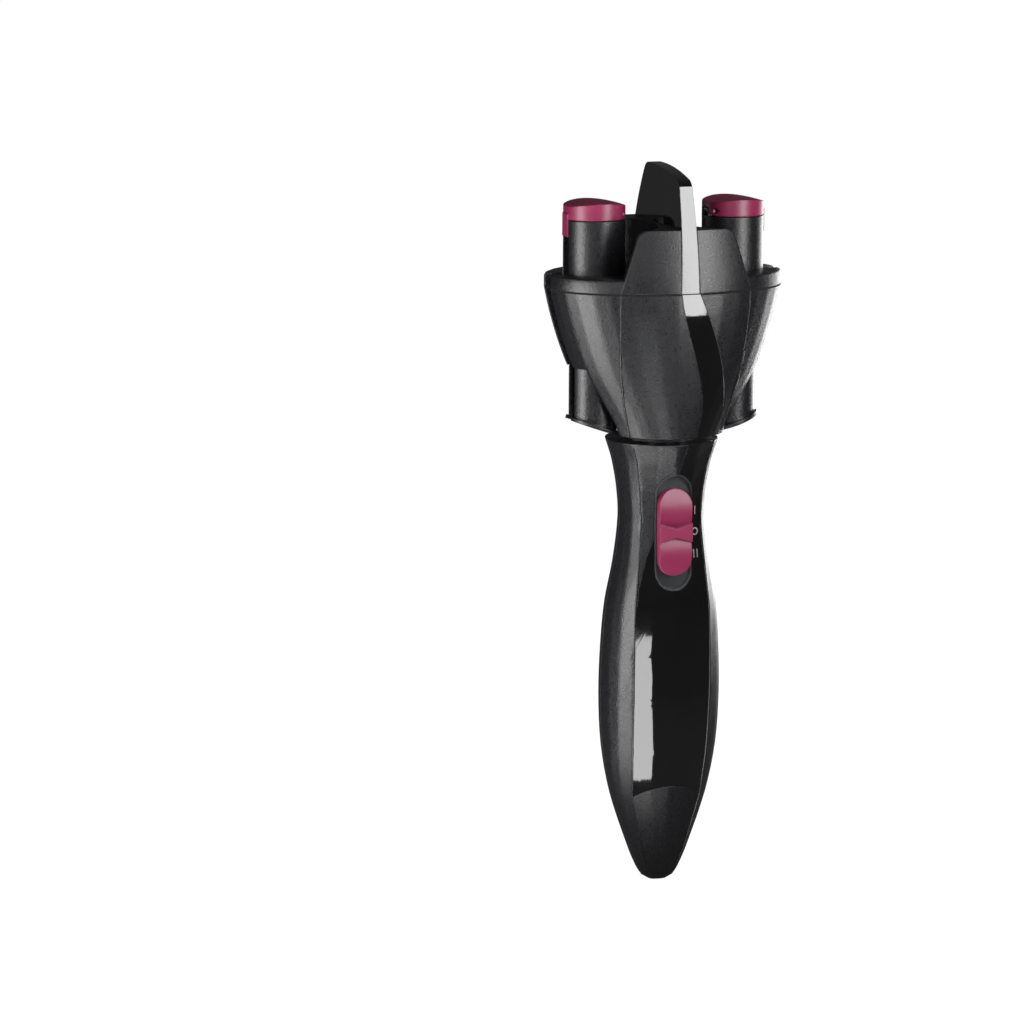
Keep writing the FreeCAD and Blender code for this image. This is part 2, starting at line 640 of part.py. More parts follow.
switch_back = bezel_floor - bezel_plate - size("switch_body_depth")
room = hollow.common(block(-REACH, REACH, -(switch_back - 1.2), REACH,
                           frame_low - 1, frame_high + frame_plate))
snug = hollow_form(wall + seam).common(room)
levels = [snug.common(block(-REACH, REACH, -REACH, REACH, z, z + frame_plate))
          for z in (frame_low, frame_high)]
post_x, post = size("waist_half") - wall - 3.4, size("frame_post") / 2
posts = [block(side * post_x - post, side * post_x + post, -post, post, frame_low, frame_high + frame_plate)
         for side in (-1, 1)]
gear_frame = fused(levels + posts)
for hole in (rod(size("motor_boss") + seam, frame_low - 1, frame_low + 5, 0, motor_y),
             rod(size("shaft_radius") + running, frame_high - 1, frame_high + 9),
             rod(size("reduction_pin"), frame_low, frame_high + 9, 0, pin_y)):
    gear_frame = gear_frame.cut(hole)
feature("gear_frame", gear_frame)

# Shaft, hub bearing and one-way clutches in the collar.
part("drive_shaft", turned("drive_shaft", [
    ("0", "gear_low + wheel_width + 0.3"), ("shaft_radius", "gear_low + wheel_width + 0.3"),
    ("shaft_radius", "shaft_top"), ("0", "shaft_top")]))
part("collar_bush", keyed_ring("collar_bush", "bush_radius", "hub_radius + running",
                               "deck_low + clutch_height + 0.1",
                               "handle_top - deck_low - clutch_height - 0.1"))
part("collar_clutch", keyed_ring("collar_clutch", "bush_radius", "hub_radius + running",
                                 "deck_low", "clutch_height"))
part("shaft_clutch", tube("shaft_clutch", "hub_bore", "shaft_radius + running",
                          "deck_low + 0.6", "deck_low + 0.6 + shaft_clutch_height"))
part("retaining_ring", keyed_ring("retaining_ring", "ring_radius", "hub_radius",
                                  "deck_low - ring_height - 0.2", "ring_height"))

# ---------------------------------------------------------------- bell


def bell_ring(half, depth, z):
    """An oval whose flat sides face the same ways at every height, so that the bands between are flat."""
    turns = [2 * math.pi * i / BELL_SIDES for i in range(BELL_SIDES)]
    facing = [math.atan2(BELL_SPREAD * math.sin(a), math.cos(a)) for a in turns]
    lines = [(math.cos(a), math.sin(a), math.hypot(half * math.cos(a), depth * math.sin(a))) for a in facing]
    ring = []
    for (ax, ay, a), (bx, by, b) in zip(lines, lines[1:] + lines[:1]):
        turn = ax * by - ay * bx
        ring.append(Vector((a * by - b * ay) / turn, (b * ax - a * bx) / turn, z))
    return ring


def bell_form(inset=0.0):
    """The bell's outside, oval at the rim and nearly round at the foot, drawn in by inset."""
    rows = [[size(f"bell_{name}_{column}") for column in ("z", "half", "depth")] for name in BELL]
    return faceted([bell_ring(half - inset, depth - inset, z) for z, half, depth in rows])


rim_z, foot_z = size("rim_z"), size("bell_foot")
bell_wall = size("bell_wall")
slot_half = size("slot_width") / 2
bell_outer = bell_form()
bell_inner = bell_form(bell_wall)
bell_skin = bell_outer.cut(bell_inner)


def oval_prism(z, high, inset):
    """An upright oval plate that fits inside the bell at the height z."""
    rows = [[size(f"bell_{name}_{column}") for column in ("z", "half", "depth")] for name in BELL]
    above, below = next((a, b) for a, b in zip(rows, rows[1:]) if b[0] <= z)
    share = (z - below[0]) / (above[0] - below[0])
    half, depth = (b + (a - b) * share - inset for a, b in zip(above[1:], below[1:]))
    ring = bell_ring(half, depth, z)
    return Part.Face(Part.makePolygon(ring + ring[:1])).extrude(Vector(0, 0, high - z))


def crease_prism(margin):
    """The front and rear panels' outline between their creases, as a prism through the bell."""
    half = [(size(f"bell_{name}_crease") - margin, size(f"bell_{name}_z")) for name in BELL]
    right = [Vector(x, 0, z) for x, z in half]
    left = [Vector(-x, 0, z) for x, z in reversed(half)]
    return prism_along_y([Part.makePolygon(right + left + right[:1])], -REACH, REACH)


panels = bell_skin.common(crease_prism(seam))
floor_high = foot_z + size("foot_plate")
foot_block = block(-REACH, REACH, -REACH, REACH, foot_z, floor_high)
foot_floor = bell_outer.common(foot_block)
window_half, window_top = size("window_half"), size("window_top")
windows = [block(x0, x1, -window_half, window_half, foot_z - 1, window_top)
           for x0, x1 in ((-REACH, -size("window_inner")), (size("window_inner"), REACH))]
slots = [block(x0, x1, -slot_half, slot_half, window_top - 1, rim_z + 20)
         for x0, x1 in ((-REACH, -head_x), (head_x, REACH))]
lobes = bell_skin.cut(crease_prism(0.0))
hub = rod(size("hub_radius"), deck_low - size("ring_height") - 0.2, floor_high)
stands = [rod(size("stand_radius"), foot_z + 1, size("tray_z"), 0, side * size("stand_y"))
          for side in (-1, 1)]
panel_room = bell_outer.cut(bell_form(bell_wall + seam)).common(crease_prism(0.0))
frame = fused([lobes, foot_floor.cut(panel_room), hub] + stands)
strand_ways = [rod(size("strand_bore"), foot_z - 1, size("tray_z"), x) for x in (-head_x, head_x)]
for cutter in windows + slots + strand_ways:
    frame = frame.cut(cutter)
frame = frame.cut(rod(size("hub_bore"), 0, floor_high + 1))
feature("bell_frame", frame)


def swoosh(margin):
    """The gloss inlay's outline on the bell: narrow under the fin, wider and to the right below."""
    left = [Vector(size(n + "_across") + margin, 0, size(n + "_height")) for n in SWOOSH_LEFT]
    right = [Vector(size(n + "_across") - margin, 0, size(n + "_height")) for n in SWOOSH_RIGHT]
    for corner in (left[0], right[0]):
        corner.z += 1
    for corner in (left[-1], right[-1]):
        corner.z -= 1
    sides = smooth(left, 10) + [Part.makeLine(left[-1], right[-1])] + smooth(right[::-1], 10)
    return prism_along_y(sides + [Part.makeLine(right[0], left[0])], -REACH, 0)


bell_gloss = bell_outer.cut(bell_form(size("inlay_depth")))
inlay = bell_outer.cut(bell_form(size("inlay_depth") - seam)).common(swoosh(seam))
front_side = block(-REACH, REACH, -REACH, 0, foot_z - 1, rim_z + 1)
rear_side = block(-REACH, REACH, 0, REACH, foot_z - 1, rim_z + 1)
feature("bell_front_panel", panels.common(front_side).cut(bell_gloss.common(swoosh(0.0))))
feature("bell_rear_panel", panels.common(rear_side))
feature("bell_inlay", inlay)

# Gear tray: carries the heads' lower ends and, on its own moulded pins, the idlers.
# It rests on the two stands.
tray_z, tray_plate = size("tray_z"), size("tray_plate")
journal = size("journal_radius")
train_top = size("train_z + train_width")
idler_places = [(sx * idler_x, sy * idler_y) for sx in (-1, 1) for sy in (-1, 1)]
pins = [rod(size("idler_pin"), tray_z + tray_plate / 2, train_top, x, y) for x, y in idler_places]
tray = fused([oval_prism(tray_z, tray_z + tray_plate, size("tray_inset"))] + pins)
head_places = (-head_x, head_x)
for hole in ([rod(journal + running, 0, 300, x) for x in head_places] + slots +
             [rod(size("shaft_radius") + running, 0, 300)]):
    tray = tray.cut(hole)
feature("gear_tray", tray)

part("sun_gear", gear("sun_gear", "train_module", "sun_teeth", "shaft_radius", "train_z", "train_width"))
for label, x, y in (("idler_left_front", -idler_x, -idler_y), ("idler_left_rear", -idler_x, idler_y),
                    ("idler_right_front", idler_x, -idler_y), ("idler_right_rear", idler_x, idler_y)):
    phase = mesh_phase(train["sun"], 0.0, math.atan2(y, x), train["idler"])
    idler = gear(label, "train_module", "idler_teeth", "idler_pin + running", "train_z", "train_width", phase)
    idler.Placement.Base = Vector(x, y, 0)
    part(label, idler)

# ---------------------------------------------------------------- heads


def split(shape, side, low, high):
    """Opens a head's piece along its outward side with the hair slot."""
    ends = (side * head_x, side * (head_x + REACH))
    return shape.cut(block(min(ends), max(ends), -slot_half, slot_half, low, high))


def barrel(low, high, side):
    """The tower's plan, round in front and behind and flat towards +X and -X, as a prism."""
    flat = size("tower_flat")
    round_part = rod(size("tower_radius"), low, high, side * head_x)
    return round_part.common(block(side * head_x - flat, side * head_x + flat, -REACH, REACH, low, high))


tower_foot, tower_top, flat = size("tower_foot"), size("tower_top"), size("tower_flat")
cover_high = rim_z + size("cover_plate")
clip_base, clip_top = size("clip_base"), size("clip_top")
pivot_radius = size("clip_pivot")
pivot_z = clip_base + pivot_radius
hinge_half, hinge_depth = size("hinge_half"), size("hinge_depth")
pin_radius, pin_reach = size("clip_pin"), size("hinge_half + hinge_half * 0.6")
spring_half = hinge_half - 1.3

for word, side in (("left", -1), ("right", 1)):
    head = side * head_x
    inner = head - side * (flat - pivot_radius)  # the clip's pivot, on the side towards the fin
    wall_x = sorted((head - side * flat, head - side * (flat - hinge_depth)))
    knuckle = rod_along_y(pivot_radius, -hinge_half, hinge_half, inner, pivot_z)
    hinge_block = block(wall_x[0], wall_x[1], -hinge_half, hinge_half, tower_top - 1, pivot_z)
    body = fused([rod(journal, tray_z + 0.2, train_top + 0.3, head),
                  rod(size("tower_radius"), train_top + 0.3, tower_foot, head),
                  rod(size("retainer_radius"), rim_z - size("retainer_plate"), rim_z - gap / 2, head),
                  barrel(tower_foot, tower_top, side), hinge_block, knuckle])
    body = split(body.cut(rod(size("strand_bore"), 0, 300, head)), side, 0, 300)
    for cutter in (rod_along_y(pin_radius, -REACH, REACH, inner, pivot_z),
                   block(wall_x[0] - 1, wall_x[1] + 1, -spring_half - 0.2, spring_half + 0.2,
                         tower_top, 300)):
        body = body.cut(cutter)
    feature(f"head_tube_{word}", body)

    ring = gear(f"head_gear_{word}_wheel", "train_module", "head_teeth", "journal_radius + running / 2",
                "train_z", "train_width",
                mesh_phase(train["idler"], mesh_phase(train["sun"], 0.0, math.atan2(idler_y, side * idler_x),
                                                      train["idler"]),
                           math.atan2(-idler_y, head - side * idler_x), train["head"]))
    ring.Placement.Base = Vector(head, 0, 0)
    doc.recompute()
    feature(f"head_gear_{word}", split(ring.Shape, side, 0, 300))

    # Clip: a domed cap with a tongue down the slot, turning on a pin through the knuckle.
    dome_drop = size("clip_dome")
    dome_radius = (flat**2 + dome_drop**2) / (2 * dome_drop)
    dome = Part.makeCylinder(dome_radius, 2 * REACH,
                             Vector(head, -REACH, clip_top - dome_radius), Vector(0, 1, 0))
    cap = barrel(clip_base, clip_top + 1, side).common(dome)
    corner_x = sorted((head - side * flat, inner))
    corner = block(corner_x[0], corner_x[1], -REACH, REACH, clip_base, pivot_z)
    cap = cap.cut(corner.cut(rod_along_y(pivot_radius, -REACH, REACH, inner, pivot_z)))
    skin_in = size("clip_skin")
    pocket_x = sorted((head + side * (flat - skin_in), head - side * (flat - 2 * hinge_depth)))
    cavity = rod(size("tower_radius") - skin_in, clip_base - 1, clip_top - dome_drop - skin_in, head)
    cap = cap.cut(cavity.common(block(pocket_x[0], pocket_x[1], -REACH, REACH, 0, 300)))
    notch_x = sorted((head - side * (flat + 1), head - side * (flat - hinge_depth - gap)))
    notch_half = hinge_half + gap / 2
    for cutter in (block(notch_x[0], notch_x[1], -notch_half, notch_half, 0, pivot_z),
                   rod_along_y(pivot_radius + gap / 2, -notch_half, notch_half, inner, pivot_z)):
        cap = cap.cut(cutter)
    tongue_out = flat + 0.4
    tongue_x = sorted((head + side * tongue_out, head + side * (tongue_out - size("clip_arm_plate"))))
    tongue = block(tongue_x[0], tongue_x[1], -slot_half + gap, slot_half - gap, clip_base - size("clip_arm"),
                   clip_base + 2.0)
    cap = fused([cap, tongue]).cut(rod_along_y(pin_radius + running, -REACH, REACH, inner, pivot_z))
    feature(f"clip_{word}", cap)
    feature(f"clip_pin_{word}", rod_along_y(pin_radius, -pin_reach, pin_reach, inner, pivot_z))
    coil = rod_along_y(pivot_radius - 0.2, -spring_half, spring_half, inner, pivot_z)
    feature(f"clip_spring_{word}", coil.cut(rod_along_y(pin_radius + 0.1, -REACH, REACH, inner, pivot_z)))

    # Strand guide: a slotted tube below the bell, its lip rising outwards.
    low, rise = size("guide_low"), size("guide_rise")
    guide_radius = size("guide_radius")
    tilt = math.atan2(rise, 2 * guide_radius)
    top = tray_z - 0.02
    guide = rod(guide_radius, low, top, head)
    lip = Part.makeCylinder(size("lip_radius"), size("lip_height"), Vector(0, 0, 0))
    lip.rotate(Vector(0, 0, 0), Vector(0, 1, 0), -side * math.degrees(tilt))
    lip.translate(Vector(head, 0, low + rise / 2))
    below = Part.makeBox(2 * REACH, 2 * REACH, 30, Vector(-REACH, -REACH, -30))
    below.rotate(Vector(0, 0, 0), Vector(0, 1, 0), -side * math.degrees(tilt))
    below.translate(Vector(head, 0, low + rise / 2))
    guide = fused([guide, lip]).cut(below).cut(rod(size("strand_bore"), 0, 300, head))
    above_window = block(-REACH, REACH, -REACH, REACH, window_top - gap, tray_z)
    guide = guide.cut(above_window.cut(bell_form(bell_wall + gap)))
    feature(f"strand_guide_{word}", split(guide, side, 0, 300))

# ---------------------------------------------------------------- cover, petals and fin

rim_half, rim_depth = size("bell_rim_half"), size("bell_rim_depth")
disc_low = rim_z + seam
petal_top, petal_wall, petal_lean = size("petal_top"), size("petal_wall"), size("petal_lean")
foot_half, top_half = size("petal_foot_half"), size("petal_top_half")
fin_foot, fin_seat = size("fin_foot"), size("fin_foot_back_height")


def oval_form(levels):
    """The cover's oval from height to height, each drawn in by so much."""
    return faceted([bell_ring(rim_half - inset, rim_depth - inset, z) for z, inset in levels])


def petal_form(inset, low, high):
    """Both petals and the waist between: steep in front and behind, slanted and hollowed at the sides."""
    form = oval_form(((disc_low, inset), ((disc_low + petal_top) / 2, petal_lean * 0.4 + inset),
                      (petal_top, petal_lean + inset)))
    outline = [Vector(-foot_half + inset, 0, disc_low), Vector(-top_half + inset, 0, petal_top),
               Vector(top_half - inset, 0, petal_top), Vector(foot_half - inset, 0, disc_low)]
    slanted = prism_along_y([Part.makePolygon(outline + outline[:1])], -REACH, REACH)
    corners = [edge for edge in slanted.Edges
               if abs(edge.BoundBox.ZMin - petal_top) < 1e-6 and edge.BoundBox.YLength > REACH]
    form = form.common(slanted.makeFillet(size("petal_corner"), corners))
    waist = size("waist_half_width")
    away = (top_half**2 + (rim_depth - petal_lean)**2 - waist**2) / (2 * (top_half - waist))
    for x in (-away, away):
        form = form.cut(rod(away - waist + inset, 0, 300, x))
    return form.common(block(-REACH, REACH, -REACH, REACH, low, high))


disc = oval_form(((disc_low, 0.0), (cover_high - 1.2, 0.0), (cover_high - 0.35, 0.35), (cover_high, 1.2)))
petals = petal_form(0.0, disc_low, petal_top)
petal_room = petal_form(petal_wall, disc_low, fin_seat - petal_wall)


def fin_wedge(margin):
    """The fin's thickness, tapering upwards, as a prism along Y."""
    foot, crown = size("fin_foot_half") + margin, size("fin_top_half") + margin
    wedge = [Vector(-foot, 0, disc_low - 1), Vector(-crown, 0, size("fin_top") + 1),
             Vector(crown, 0, size("fin_top") + 1), Vector(foot, 0, disc_low - 1)]
    return prism_along_y([Part.makePolygon(wedge + wedge[:1])], -REACH, REACH)


def fin_solid():
    """The fin: a tapering blade seated on the petals' waist, with a leg down the front petal."""
    points = {name: Vector(0, size(f"fin_{name}_depth"), size(f"fin_{name}_height")) for name in FIN}
    crown_front, crown_back = points["crown_front"], points["crown_back"]
    corner_front, brow_end = crown_front + Vector(0, -1.6, -4.5), crown_front + Vector(0, 1.6, 0.5)
    crown_end, corner_back = crown_back - Vector(0, 2.4, 0), crown_back + Vector(0, 2.2, -3.0)
    inner_front = points["foot_front"] + Vector(0, fin_foot, 0)
    seat = [points["foot_back"], Vector(0, inner_front.y, fin_seat), inner_front, points["foot_front"]]
    edges = smooth([points["foot_front"], points["brow_front"], corner_front], 6)
    for start, middle, end, steps in (
            (corner_front, crown_front + Vector(0, -0.6, -1.2), brow_end, 4),
            (brow_end, (crown_front + crown_back) / 2 + Vector(0, 0, 1.4), crown_end, 6),
            (crown_end, crown_back + Vector(0, 0.4, -0.9), corner_back, 4)):
        edges += straightened(Part.Arc(start, middle, end), steps)
    edges += smooth([corner_back, points["brow_back"], points["foot_back"]], 6)
    edges += [Part.makeLine(start, end) for start, end in zip(seat, seat[1:])]
    face = Part.Face(Part.Wire(edges))
    face.translate(Vector(-10, 0, 0))
    return face.extrude(Vector(20, 0, 0)).common(fin_wedge(0.0))


skirt_low, skirt_in = rim_z - size("skirt_drop"), bell_wall + gap
lip_skirt = oval_prism(skirt_low, disc_low + 0.2, skirt_in).cut(
    oval_prism(skirt_low, disc_low + 0.2, skirt_in + size("petal_skirt")))
shaft_boss = rod(size("shaft_radius") + 2.2, train_top + 0.4, rim_z + 1)
cover = fused([disc, petals]).cut(petal_room)
cover = fused([cover, lip_skirt, shaft_boss])
for x in head_places:
    cover = cover.cut(rod(size("tower_radius") + running, rim_z - 0.5, cover_high + 1, x))
    cover = cover.cut(rod(size("retainer_radius") + gap, skirt_low - 1, disc_low - 0.01, x))
for cutter in slots:
    cover = cover.cut(cutter)
cover = cover.cut(rod(size("shaft_radius") + running, train_top, size("shaft_top") + 0.3))
leg_back = size("fin_foot_front_depth") + fin_foot + seam
fin_room = [block(-REACH, REACH, -REACH, size("fin_foot_back_depth") + seam, fin_seat - seam, REACH * 5),
            block(-REACH, REACH, -REACH, leg_back, size("fin_foot_front_height") - seam, REACH * 5)]
for space in fin_room:
    cover = cover.cut(space.common(fin_wedge(seam)))
feature("top_cover", cover)
feature("fin", fin_solid())

# ---------------------------------------------------------------- checks and files

doc.recompute()
for thing in doc.Objects:
    if "Invalid" in thing.State or "Error" in thing.State:
        raise RuntimeError(f"{thing.Label} did not build")
for thing in parts:
    shape = thing.Shape
    if shape.isNull() or not shape.isValid() or shape.Volume < 0.01:
        raise RuntimeError(f"{thing.Label} has no sound solid")
os.makedirs("parts", exist_ok=True)
for thing in parts:
    thing.Shape.exportStep(f"parts/{thing.Label}.step")
print(len(parts), "parts, head axis", round(head_x, 3), "idler", round(idler_x, 3), round(idler_y, 3))
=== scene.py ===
import json
import math

import bpy
from mathutils import Matrix, Vector
from mathutils.bvhtree import BVHTree


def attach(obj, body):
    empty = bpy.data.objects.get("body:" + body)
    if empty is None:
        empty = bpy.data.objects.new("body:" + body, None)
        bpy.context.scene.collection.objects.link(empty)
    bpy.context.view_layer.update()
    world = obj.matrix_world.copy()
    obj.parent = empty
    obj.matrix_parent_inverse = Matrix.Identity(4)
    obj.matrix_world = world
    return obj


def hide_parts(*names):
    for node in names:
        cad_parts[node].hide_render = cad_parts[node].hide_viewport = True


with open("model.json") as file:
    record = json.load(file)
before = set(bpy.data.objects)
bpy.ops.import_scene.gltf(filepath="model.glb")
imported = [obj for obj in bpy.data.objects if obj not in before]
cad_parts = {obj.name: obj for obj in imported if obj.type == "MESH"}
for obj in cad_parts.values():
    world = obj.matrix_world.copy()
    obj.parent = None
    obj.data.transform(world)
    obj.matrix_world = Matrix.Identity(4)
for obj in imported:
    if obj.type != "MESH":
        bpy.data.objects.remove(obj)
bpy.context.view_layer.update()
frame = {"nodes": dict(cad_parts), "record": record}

NODES = frame["nodes"]
SCENE = bpy.context.scene


# ---------------------------------------------------------------- node helpers

NOISE_LOW, NOISE_HIGH = 0.3, 0.7
GRAIN_DETAIL, GRAIN_ROUGH = 3.0, 0.6
DRIFT_SCALE, DRIFT_DETAIL, DRIFT_LOW, DRIFT_HIGH = 0.06, 4.0, 0.36, 0.66
METAL_GRAIN, METAL_DRIFT, METAL_BUMP = 2.0, 0.4, 0.004
BEVEL_SAMPLES = 6


class Shader:
    """A small builder for one material's node tree, working in object coordinates in millimetres."""

    def __init__(self, name):
        self.material = bpy.data.materials.new(name)
        self.material.use_nodes = True
        self.tree = self.material.node_tree
        self.principled = self.tree.nodes["Principled BSDF"]
        coordinates = self.node("ShaderNodeTexCoord")
        scaled = self.node("ShaderNodeVectorMath", operation="SCALE")
        self.link(coordinates.outputs["Object"], scaled.inputs[0])
        scaled.inputs["Scale"].default_value = 1000.0
        self.mm = scaled.outputs[0]

    def node(self, kind, **settings):
        new = self.tree.nodes.new(kind)
        for key, value in settings.items():
            setattr(new, key, value)
        return new

    def link(self, source, target):
        self.tree.links.new(source, target)

    def set(self, **values):
        for name, value in values.items():
            self.principled.inputs[name.replace("_", " ")].default_value = value

    def noise(self, scale, detail, rough=0.5, stretch=None):
        """A noise whose features are about 1/scale millimetres across."""
        new = self.node("ShaderNodeTexNoise")
        new.inputs["Scale"].default_value = scale
        new.inputs["Detail"].default_value = detail
        new.inputs["Roughness"].default_value = rough
        source = self.mm
        if stretch:
            mapping = self.node("ShaderNodeMapping")
            mapping.inputs["Scale"].default_value = stretch
            self.link(self.mm, mapping.inputs["Vector"])
            source = mapping.outputs[0]
        self.link(source, new.inputs["Vector"])
        return new.outputs["Fac"]

    def ramp(self, source, stops):
        """A colour ramp through the given stops, each a place and a colour."""
        new = self.node("ShaderNodeValToRGB")
        elements = new.color_ramp.elements
        while len(elements) < len(stops):
            elements.new(0.5)
        for element, (place, colour) in zip(elements, stops):
            element.position = place
            element.color = (*colour, 1.0)
        self.link(source, new.inputs[0])
        return new.outputs[0]

    def span(self, source, low, high):
        """Spreads the middle of a noise's range over low to high."""
        new = self.node("ShaderNodeMapRange")
        limits = {"From Min": NOISE_LOW, "From Max": NOISE_HIGH, "To Min": low, "To Max": high}
        for key, value in limits.items():
            new.inputs[key].default_value = value
        self.link(source, new.inputs["Value"])
        return new.outputs[0]

    def bump(self, source, distance):
        """Adds a bump of that height in millimetres, on top of any earlier one."""
        new = self.node("ShaderNodeBump")
        new.inputs["Distance"].default_value = distance / 1000.0
        new.inputs["Strength"].default_value = 1.0
        self.link(source, new.inputs["Height"])
        earlier = self.principled.inputs["Normal"]
        if earlier.is_linked:
            self.link(earlier.links[0].from_socket, new.inputs["Normal"])
        self.link(new.outputs[0], earlier)

    def rounded(self, radius):
        """Shades the mesh's edges as if rounded to that radius in millimetres."""
        new = self.node("ShaderNodeBevel")
        new.samples = BEVEL_SAMPLES
        new.inputs["Radius"].default_value = radius / 1000.0
        self.link(new.outputs[0], self.principled.inputs["Normal"])


def srgb(red, green, blue):
    """A colour written as 0 to 255, as linear numbers."""
    return tuple(((c / 255 + 0.055) / 1.055) ** 2.4 if c > 10 else c / 255 / 12.92
                 for c in (red, green, blue))


def moulded(name, low, high, rough, grain, height=0.010, edge=0.0, speckled=False):
    """Injection-moulded plastic: a fine spark-eroded grain and a drift of colour, slow or with the grain."""
    made = Shader(name)
    if edge:
        made.rounded(edge)
    fine = made.noise(grain, GRAIN_DETAIL, GRAIN_ROUGH)
    drift = fine if speckled else made.noise(DRIFT_SCALE, DRIFT_DETAIL)
    made.colour = made.ramp(drift, ((DRIFT_LOW, low), (DRIFT_HIGH, high)))
    made.link(made.colour, made.principled.inputs["Base Color"])
    made.sheen = made.span(fine, *rough)
    made.link(made.sheen, made.principled.inputs["Roughness"])
    made.bump(fine, height)
    return made


def metal(name, low, high, rough=(0.2, 0.35), stretch=None):
    """Plain metal with a slow drift of colour and a fine grain, drawn out along an axis by stretch."""
    made = Shader(name)
    made.set(Metallic=1.0)
    drift = made.noise(METAL_DRIFT, GRAIN_DETAIL)
    colour = made.ramp(drift, ((NOISE_LOW, low), (NOISE_HIGH, high)))
    made.link(colour, made.principled.inputs["Base Color"])
    fine = made.noise(METAL_GRAIN, GRAIN_DETAIL, GRAIN_ROUGH, stretch)
    made.link(made.span(fine, *rough), made.principled.inputs["Roughness"])
    made.bump(fine, METAL_BUMP)
    return made


# ---------------------------------------------------------------- materials

body = moulded("black_body", srgb(14, 14, 16), srgb(32, 32, 36), rough=(0.25, 0.38),
               grain=1.8, height=0.10, edge=0.6, speckled=True)

# A band of painted shade, near black and dull, where the cover meets the bell. It stands in for the shadow
# inside the groove between them. Given here: its height and half its width in millimetres.
GROOVE_SHADE_HEIGHT, GROOVE_SHADE_REACH = 217.25, 0.36
GROOVE_SHADE_COLOUR = (0.001, 0.001, 0.001, 1.0)
position = body.node("ShaderNodeSeparateXYZ")
body.link(body.mm, position.inputs[0])
# Mask of the painted shade band: 1 within its reach of the groove's height, else 0.
groove_shade_mask = body.node("ShaderNodeMath", operation="COMPARE")
groove_shade_mask.inputs[1].default_value = GROOVE_SHADE_HEIGHT
groove_shade_mask.inputs[2].default_value = GROOVE_SHADE_REACH
body.link(position.outputs["Z"], groove_shade_mask.inputs[0])
# Paints the band near black. This is painted shade for the groove between the cover and the bell.
groove_shade_mix = body.node("ShaderNodeMix", data_type="RGBA")
body.link(groove_shade_mask.outputs[0], groove_shade_mix.inputs[0])
body.link(body.colour, groove_shade_mix.inputs[6])
groove_shade_mix.inputs[7].default_value = GROOVE_SHADE_COLOUR
body.link(groove_shade_mix.outputs[2], body.principled.inputs["Base Color"])
dull = body.node("ShaderNodeMath", operation="MAXIMUM")
body.link(groove_shade_mask.outputs[0], dull.inputs[0])
body.link(body.sheen, dull.inputs[1])
body.link(dull.outputs[0], body.principled.inputs["Roughness"])
body.set(Specular_IOR_Level=0.85)

gloss = moulded("gloss_black", srgb(6, 5, 6), srgb(9, 8, 9), rough=(0.05, 0.08), grain=0.5, height=0.001,
                edge=0.3)
gloss.set(Specular_IOR_Level=0.7, Coat_Weight=1.0, Coat_Roughness=0.03)
pink = moulded("pink", srgb(138, 30, 74), srgb(156, 38, 86), rough=(0.34, 0.44), grain=2.0, height=0.02,
               edge=0.5)
pink.set(Specular_IOR_Level=0.9)
bezel = moulded("bezel_grey", srgb(50, 52, 54), srgb(62, 64, 66), rough=(0.4, 0.5), grain=2.4, edge=0.25)
nylon = moulded("nylon", srgb(205, 200, 188), srgb(222, 217, 205), rough=(0.35, 0.5), grain=3.0)
brass = metal("brass", srgb(196, 160, 84), srgb(214, 180, 104))
steel = metal("steel", srgb(170, 172, 176), srgb(196, 198, 202), stretch=(1, 1, 12))
cell_can = metal("cell_can", srgb(60, 66, 78), srgb(78, 84, 96), rough=(0.25, 0.4))
crease_edge = moulded("crease_edge", srgb(30, 30, 33), srgb(38, 38, 42), rough=(0.22, 0.3), grain=2.0,
                      height=0.003)
crease_edge.set(Specular_IOR_Level=1.0)
contact = metal("contact", srgb(200, 200, 196), srgb(220, 220, 214))
ink = moulded("mark_ink", srgb(182, 182, 180), srgb(196, 196, 194), rough=(0.4, 0.5), grain=4.0, height=0.002)
BY_SLOT = {"black_body": body, "gloss_black": gloss, "pink": pink, "bezel_grey": bezel, "nylon": nylon,
           "brass": brass, "steel": steel, "cell_can": cell_can, "contact": contact}


# ---------------------------------------------------------------- smoothing and curving

SMOOTH_ANGLE = math.radians(28)
MERGE_DISTANCE = 2e-6
CURVE_LEVEL = 2
# A float curve gives 0 to 1; these turn that into a factor of 0.9 to 1.1.
FACTOR_LOW, FACTOR_RANGE = 0.9, 0.2


def smoothing():
    """Geometry nodes that join a node's faces and shade it smooth up to an angle."""
    group = bpy.data.node_groups.new("smooth_by_angle", "GeometryNodeTree")
    group.interface.new_socket("Geometry", in_out="INPUT", socket_type="NodeSocketGeometry")
    angle = group.interface.new_socket("Angle", in_out="INPUT", socket_type="NodeSocketFloat")
    angle.default_value = SMOOTH_ANGLE
    group.interface.new_socket("Geometry", in_out="OUTPUT", socket_type="NodeSocketGeometry")
    nodes, link = group.nodes, group.links.new
    source, result = nodes.new("NodeGroupInput"), nodes.new("NodeGroupOutput")
    merge = nodes.new("GeometryNodeMergeByDistance")
    merge.inputs["Distance"].default_value = MERGE_DISTANCE
    normal = nodes.new("GeometryNodeSetMeshNormal")
    normal.inputs["Remove Custom"].default_value = True
    edge = nodes.new("GeometryNodeInputMeshEdgeAngle")
    sharp = nodes.new("FunctionNodeCompare")
    sharp.operation = "GREATER_THAN"
    normal.mode = "SHARPNESS"
    link(source.outputs["Geometry"], merge.inputs["Geometry"])
    link(merge.outputs["Geometry"], normal.inputs["Mesh"])
    link(edge.outputs["Unsigned Angle"], sharp.inputs[0])
    link(source.outputs["Angle"], sharp.inputs[1])
    link(sharp.outputs["Result"], normal.inputs["Edge Sharpness"])
    link(normal.outputs["Mesh"], result.inputs["Geometry"])
    return group


